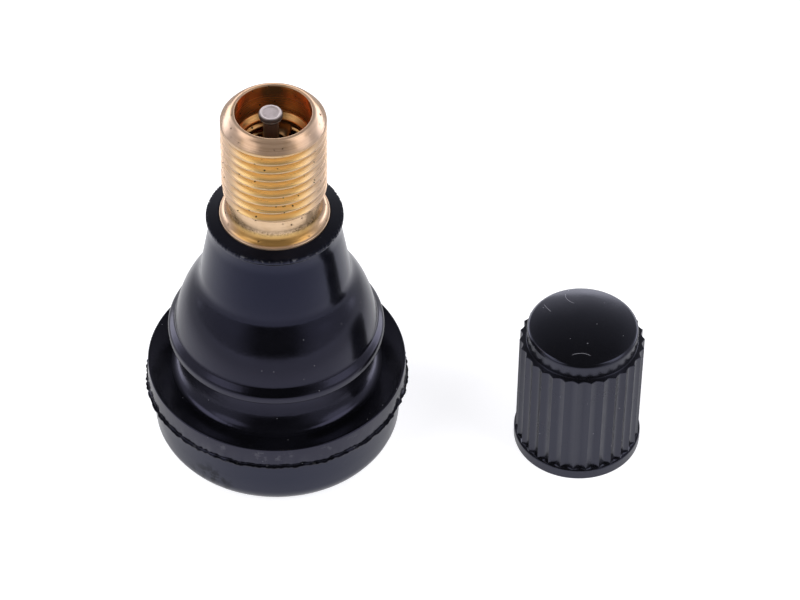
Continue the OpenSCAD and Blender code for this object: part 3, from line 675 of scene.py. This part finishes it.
round_r = BAND_R - DOME_ROUND
dome_r = DOME_ROUND + round_r / math.cos(math.radians(DOME_EDGE))
dome_z = BAND_TOP_Z - round_r * math.tan(math.radians(DOME_EDGE))
top = [(BAND_R + 0.04, RIB_TOP_Z, 0), (BAND_R, RIB_TOP_Z, 0.02)]
top += arc(round_r, BAND_TOP_Z, DOME_ROUND, DOME_ROUND, 0, DOME_EDGE, 16)
top += arc(0, dome_z, dome_r, dome_r, DOME_EDGE + 0.5, 89.8, 20)
parts = [roof, (hole, hole_z), outline(ring, step=0.5), ribbed, outline(top, step=0.5)]
cap = [(turned(*stacked(parts, theta), theta, (CAP_X, CAP_Y)), False)]
piece("ribbed_cap", cap, "valve", "dust_cap", plastic)

# %% [markdown]
# ## Valve core
# The pin is one turned and upset wire with a bevelled, dished head and two flat ears over the spring.
# It could be joined from cylinders, but as one outline on a turned grid it keeps its rounded edges. It
# has play in the barrel and leans a little to one side. Drawn steel has a grey film. On the head are a
# painted highlight on its rim and a thin one on its lower edge, and painted shade at the step into its
# dish. Its side and the shaft get painted shade, as they lie in the dark of the mouth.

# %% Steel finish
PIN_R, HEAD_R, RIVET_R, PIN_TOP_Z, PIN_LEAN = 0.575, 0.875, 0.85, 32.95, 0.19
PIN_FOOT_Z, PIN_CUP_Z, PIN_STRAIGHT_Z = 14.79, 15.22, 21
# After the two greys of the steel, these tones are painted highlights and painted shade.
STEEL, DULL_STEEL, DISH_STEP_SHADE = (0.74, 0.64, 0.66), (0.54, 0.46, 0.47), (0.32, 0.26, 0.25)
RIM_HIGHLIGHT, SIDE_SHADE = (0.85, 0.76, 0.76), (0.08, 0.06, 0.055)
LOW_EDGE_HIGHLIGHT, SHAFT_SHADE = (0.75, 0.68, 0.64), (0.1, 0.06, 0.045)

steel = Finish("core_steel", (0.6, 0.55, 0.56), 0.42, 0.5)
drawn = steel.noise(1.4, 5)
from_middle = steel.away((-PIN_LEAN, 0, PIN_TOP_Z))
# Painted shade at the step into the dish, and a painted highlight on the head's rim.
layers = [(steel.between(from_middle, 0.57, 0.6, 0.04), DISH_STEP_SHADE)]
layers += [(steel.between(from_middle, 0.67, 0.75, 0.04), RIM_HIGHLIGHT)]
# Painted shade on the head's side, a painted highlight on its lower edge, and painted shade on the
# shaft.
layers += [(steel.ramp(from_middle, 0.74, 0.84), SIDE_SHADE)]
layers += [(steel.between(steel.z, PIN_TOP_Z - 0.43, PIN_TOP_Z - 0.37, 0.04), LOW_EDGE_HIGHLIGHT)]
layers += [(steel.ramp(steel.z, PIN_TOP_Z - 0.35, PIN_TOP_Z - 0.65), SHAFT_SHADE)]
bare = steel.mix(steel.ramp(drawn, 0.35, 0.7), STEEL, DULL_STEEL)
steel.feed("Base Color", steel.coats(bare, layers))
steel.feed("Roughness", steel.ramp(drawn, 0.3, 0.7, 0.34, 0.5))
steel.bump(steel.noise(6.0, 3), 0.08, 0.03)
print("finish", steel.material.name)


# %% Pin
def loops(outer, heights, inset):
    """Closed loops of one plan shape, stacked: at each height the shape shrinks towards its middle by
    the share inset. outer holds the shape's x and y."""
    middle = outer.mean(axis=1, keepdims=True)
    shrink = (1 - np.array(inset))[:, None]
    x, y = (middle[k] + shrink * (outer[k] - middle[k]) for k in (0, 1))
    return np.stack([x, y, np.repeat(np.array(heights)[:, None], outer.shape[1], 1)], axis=-1)


def block(half_x, half_y, count=64, power=0.12):
    """Plan of a block with rounded corners: x = a cos^p t, y = b sin^p t, with the signs kept."""
    t = angles(count)
    c, s = np.cos(t), np.sin(t)
    return np.stack([half_x * np.sign(c) * np.abs(c) ** power, half_y * np.sign(s) * np.abs(s) ** power])


PIN_COLUMNS = 72

pin = [(0.05, PIN_FOOT_Z, 0), (RIVET_R, PIN_FOOT_Z, 0.14), (RIVET_R, PIN_CUP_Z, 0.05)]
pin += [(PIN_R, PIN_CUP_Z, 0.03), (PIN_R, 32.2, 0.1), (HEAD_R, 32.55, 0.08), (HEAD_R, 32.83, 0.05)]
pin += [(0.76, PIN_TOP_Z, 0.06), (0.66, PIN_TOP_Z, 0.03)]
pin += [(0.58, PIN_TOP_Z - 0.07, 0.03), (0.05, PIN_TOP_Z - 0.06, 0)]
pin_r, pin_z = outline(pin, step=2.0, grain=0.02)
shaft = turned(pin_r[:, None], pin_z[:, None], angles(PIN_COLUMNS))
shaft[..., 0] -= PIN_LEAN * np.interp(pin_z, [PIN_STRAIGHT_Z, PIN_TOP_Z], [0, 1])[:, None]
ears = loops(block(1.19, 0.62), [22.46, 22.5, 23.02, 23.06], [0.05, 0, 0, 0.05])
piece("depressor_pin", [(shaft, False), (ears, False)], "pin", "core_pin", steel)

# %% [markdown]
# The plug is a threaded ring under a flat bridge with two legs, in a duller brass than the stem. It
# screws in the stem's own thread, so it uses the same ridge function half a pitch out of step. The
# bridge could be cut from a disc, but a grid whose radius stops at its straight sides needs no cut.

# %% Core brass and the plug's ring
PLUG_R, PLUG_BORE_R, PLUG_Z, PLUG_TOP_Z = 2.35, 1.75, 23.7, 28.1
LIP_BORE_R, LIP_BORE_Z, PLUG_DEPTH = 1.43, 24.4, 0.18
PLUG_COLUMNS, PLUG_STEP = 144, 0.06

core = Finish("core_brass", (0.6, 0.4, 0.2), 0.32, 1.0)
dull = core.noise(1.6, 5)
core.feed("Base Color", core.mix(core.ramp(dull, 0.4, 0.7), (0.36, 0.2, 0.09), (0.2, 0.11, 0.05)))
core.feed("Roughness", core.ramp(dull, 0.3, 0.7, 0.26, 0.42))
core.bump(core.noise(1.0, 4, core.stretch((0.2, 0.2, 8.0))), 0.1, 0.04)

theta = angles(PLUG_COLUMNS)
plug_low = [(LIP_BORE_R, LIP_BORE_Z, 0), (LIP_BORE_R, PLUG_Z, 0.05), (2.2, PLUG_Z, 0.1), (2.3, 23.85, 0)]
plug_z = np.arange(PLUG_Z + 0.2, PLUG_TOP_Z - 0.1, PLUG_STEP)
ridges = ridge(theta, plug_z[:, None], IN_PITCH, PLUG_DEPTH, IN_CREST + 0.5)
plug_cut = PLUG_R - PLUG_DEPTH * (1 - ridges)
plug_in = [(2.3, 28.02, 0), (2.22, PLUG_TOP_Z, 0.04), (PLUG_BORE_R, PLUG_TOP_Z, 0.05)]
plug_in += [(PLUG_BORE_R, LIP_BORE_Z, 0.05), (LIP_BORE_R, LIP_BORE_Z, 0)]
high_r, high_z = outline(plug_in, step=0.8)
parts = [outline(plug_low), (plug_cut, plug_z), (high_r[:-1], high_z[:-1])]
plug_ring = turned(*stacked(parts, theta), theta)
print("plug thread of", plug_z.size, "rows")

# %% Bridge and legs of the plug
BRIDGE_R, BRIDGE_HALF, ROOF_Z, BRIDGE_TURN = 2.19, 0.95, 29.2, math.radians(80)
AIR_HOLE_R, LEG_HALF, LEG_REACH = 0.88, 0.215, 0.93

across = np.abs(np.sin(theta - BRIDGE_TURN))
edge = np.minimum(BRIDGE_R, BRIDGE_HALF / np.maximum(across, 1e-3))
air_hole = np.full(theta.size, AIR_HOLE_R)
roof_r = [air_hole + 0.02, air_hole, air_hole, air_hole + 0.04]
roof_r += [edge - 0.1, edge - 0.03, edge, edge, edge - 0.05]
roof_up = np.array([0, 0.05, 0.84, 0.9, 0.9, 0.87, 0.8, 0.05, 0])[:, None]
bridge = turned(np.maximum(np.stack(roof_r), AIR_HOLE_R), ROOF_Z + roof_up, theta)

leg_plan = block(LEG_HALF, LEG_REACH)
bent = np.stack([leg_plan[0] + np.sqrt(BRIDGE_R**2 - leg_plan[1] ** 2) - 0.22, leg_plan[1]])
c, s = math.cos(BRIDGE_TURN), math.sin(BRIDGE_TURN)
spin = np.array([[c, -s], [s, c]])
leg_z = [PLUG_TOP_Z - 0.2, PLUG_TOP_Z - 0.15, ROOF_Z, ROOF_Z + 0.1]
legs = [(loops(spin @ (side * bent), leg_z, [0.02, 0, 0, 0.02]), False) for side in (1, -1)]
plug = [(plug_ring, True), (bridge, True)] + legs
piece("core_plug_turned", plug, "plug", "core_plug", core)

# %% [markdown]
# The spring is a wire whose centre runs up a helix, wound closer at both ends. A curve with a round
# bevel would give it too, but a grid needs no conversion.

# %% Spring
SPRING_LOW, SPRING_HIGH, COIL_R, WIRE_R, TURNS = 17.7, 22.44, 1.07, 0.13, 6.5
CLOSENESS, COIL_ROWS, WIRE_COLUMNS = 0.6, 470, 12

u = np.linspace(0, 1, COIL_ROWS)[:, None]
round_wire = angles(WIRE_COLUMNS)
rise = SPRING_HIGH - SPRING_LOW - 2 * WIRE_R
coil_z = SPRING_LOW + WIRE_R + rise * (u - CLOSENESS * np.sin(2 * np.pi * u) / (2 * np.pi))
wire_r, wire_z = COIL_R - WIRE_R * np.cos(round_wire), coil_z + WIRE_R * np.sin(round_wire)
coil = turned(wire_r, wire_z, 2 * np.pi * TURNS * u)
# The steel finish gives the spring the shaft's painted shade as well.
core_spring = piece("coil_spring", [(coil, False)], "barrel", "core_spring", steel)
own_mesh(core_spring)

# %% [markdown]
# The barrel, its gasket, the cup and the seal are hidden in the stem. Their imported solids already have
# the real form, so they are kept and only get a finish.

# %% Hidden pieces
gasket = Finish("gasket", (0.35, 0.05, 0.04), 0.4)
gasket.feed("Base Color", gasket.mix(gasket.noise(2.0), (0.3, 0.04, 0.03), (0.4, 0.07, 0.05)))
gasket.bump(gasket.noise(5.0), 0.05, 0.05)

seal = Finish("seal_rubber", (0.02, 0.02, 0.02), 0.45)
seal.feed("Base Color", seal.mix(seal.noise(2.0), (0.015, 0.015, 0.015), (0.035, 0.035, 0.035)))
seal.bump(seal.noise(5.0), 0.08, 0.05)

kept = {"core_barrel": core, "barrel_gasket": gasket, "plunger_cup": core, "plunger_seal": seal}
for name, finish in kept.items():
    nodes[name].data.materials.clear()
    nodes[name].data.materials.append(finish.material)
print("solids kept:", sorted(kept))

# %% [markdown]
# ## Floor and light
# The valve stands on a plain white table. Seen directly the table glows a little, so it reads as white
# paper without more light on the valve, and it keeps its shadow. In reflections it glows in a pool round
# the valve, as a lit tabletop does. A separate backdrop plane would do the same, but would have to be
# hidden from the light.

# %% Floor
FLOOR_HALF = 2000
CAMERA_GLOW, POOL_GLOW, POOL_Y, POOL_IN, POOL_OUT = 0.76, 0.42, 12, 20, 70
PAPER, PAPER_GLOW = (0.6, 0.6, 0.6), (0.99, 0.99, 1.02)

h = FLOOR_HALF * MM
floor_mesh = bpy.data.meshes.new("floor")
floor_mesh.from_pydata([(-h, -h, 0), (h, -h, 0), (h, h, 0), (-h, h, 0)], [], [(0, 1, 2, 3)])
floor = bpy.data.objects.new("floor", floor_mesh)
bpy.context.scene.collection.objects.link(floor)

paper = bpy.data.materials.new("floor")
paper.use_nodes = True
paper.node_tree.nodes.remove(paper.node_tree.nodes["Principled BSDF"])
sheet = Nodes(paper.node_tree)
path = sheet.add("LightPath")
from_pool = sheet.vector("DISTANCE", sheet.add("TexCoord")["Object"], (0, POOL_Y * MM, 0))["Value"]
pool = sheet.ramp(from_pool, POOL_OUT * MM, POOL_IN * MM, 0, POOL_GLOW)
mirrored = sheet.most(path["Is Glossy Ray"], path["Is Transmission Ray"])
strength = sheet.math("MULTIPLY_ADD", path["Is Camera Ray"], CAMERA_GLOW, sheet.both(mirrored, pool))
matt = sheet.add("BsdfDiffuse", [("Color", PAPER)])[0]
glow = sheet.add("Emission", [("Color", PAPER_GLOW), ("Strength", strength)])[0]
surface = sheet.add("AddShader", [(0, matt), (1, glow)])[0]
sheet.link(surface, paper.node_tree.nodes["Material Output"].inputs["Surface"])
floor_mesh.materials.append(paper)
print("floor made")

# %% [markdown]
# Black rubber and brass show little but what they mirror, so the studio round them is drawn in the
# world: a dark room, paler at its sides, a backdrop behind the valve that fades upwards from a bright
# low panel, and four soft boxes, each a round patch about one heading. Planes that glow would look the
# same in the gloss, but would also have to be kept out of the camera's view.

# %% Studio
ROOM, SIDES, PANEL = 0.015, 0.4, 1.3
BACKDROP, BACKDROP_FALL, BACKDROP_MOST = 5.45, -5.1, 1.2
BOXES = [((-0.59, 0.05, 0.81), 1.3), ((0.53, -0.03, 0.85), 1.3)]
BOXES += [((-0.64, -0.46, 0.62), 0.7), ((0.79, -0.28, 0.55), 0.7)]
STUDIO_WHITE = (1, 1, 1.02)

world = bpy.data.worlds.new("studio")
world.use_nodes = True
studio = Nodes(world.node_tree)
heading = studio.add("TexCoord")["Generated"]
way_x, way_y, way_z = studio.add("SeparateXYZ", [("Vector", heading)])
light = studio.ramp(studio.math("ABSOLUTE", way_x), 0.3, 0.8, ROOM, ROOM + SIDES)
faded = studio.math("EXPONENT", studio.math("MULTIPLY_ADD", way_z, BACKDROP_FALL, math.log(BACKDROP)))
panel = studio.ramp(way_z, 0.33, 0.29, 0, PANEL)
backdrop = studio.math("ADD", studio.math("MINIMUM", faded, BACKDROP_MOST), panel)
light = studio.math("MULTIPLY_ADD", studio.ramp(way_y, 0.1, 0.6), backdrop, light)
for box_way, radiance in BOXES:
    near = studio.vector("DOT_PRODUCT", heading, box_way)["Value"]
    light = studio.math("ADD", light, studio.ramp(near, 0.95, 0.99, 0, radiance))
background = world.node_tree.nodes["Background"].inputs
studio.link(light, background["Strength"])
studio.link(STUDIO_WHITE, background["Color"])
bpy.context.scene.world = world
print("studio with", len(BOXES), "soft boxes")

# %% [markdown]
# Two area lamps give the table and the dust their plain light. The gloss does not see them, because it
# already mirrors the soft boxes.

# %% Lamps
LAMP_DISTANCE, LAMP_WIDTH, LAMP_HEIGHT, LAMP_RADIANCE = 400, 240, 180, 5.5
LAMP_AIM = Vector((8, 0, 15))


def soft_light(name, azimuth, elevation):
    """A soft box that looks at the valve. Its power is its radiance times pi times its area."""
    a, e = math.radians(azimuth), math.radians(elevation)
    away = Vector((math.sin(a) * math.cos(e), -math.cos(a) * math.cos(e), math.sin(e)))
    data = bpy.data.lights.new(name, "AREA")
    data.shape = "RECTANGLE"
    data.size, data.size_y = LAMP_WIDTH * MM, LAMP_HEIGHT * MM
    data.energy = LAMP_RADIANCE * math.pi * data.size * data.size_y
    made = bpy.data.objects.new(name, data)
    made.rotation_mode = "QUATERNION"
    made.rotation_quaternion = (-away).to_track_quat("-Z", "Y")
    made.location = (away * LAMP_DISTANCE + LAMP_AIM) * MM
    made.visible_glossy = False
    bpy.context.scene.collection.objects.link(made)


soft_light("left_box", -52, 35)
soft_light("right_box", 66, 33)
bpy.context.scene.view_settings.view_transform = "Standard"
print("lamps made")
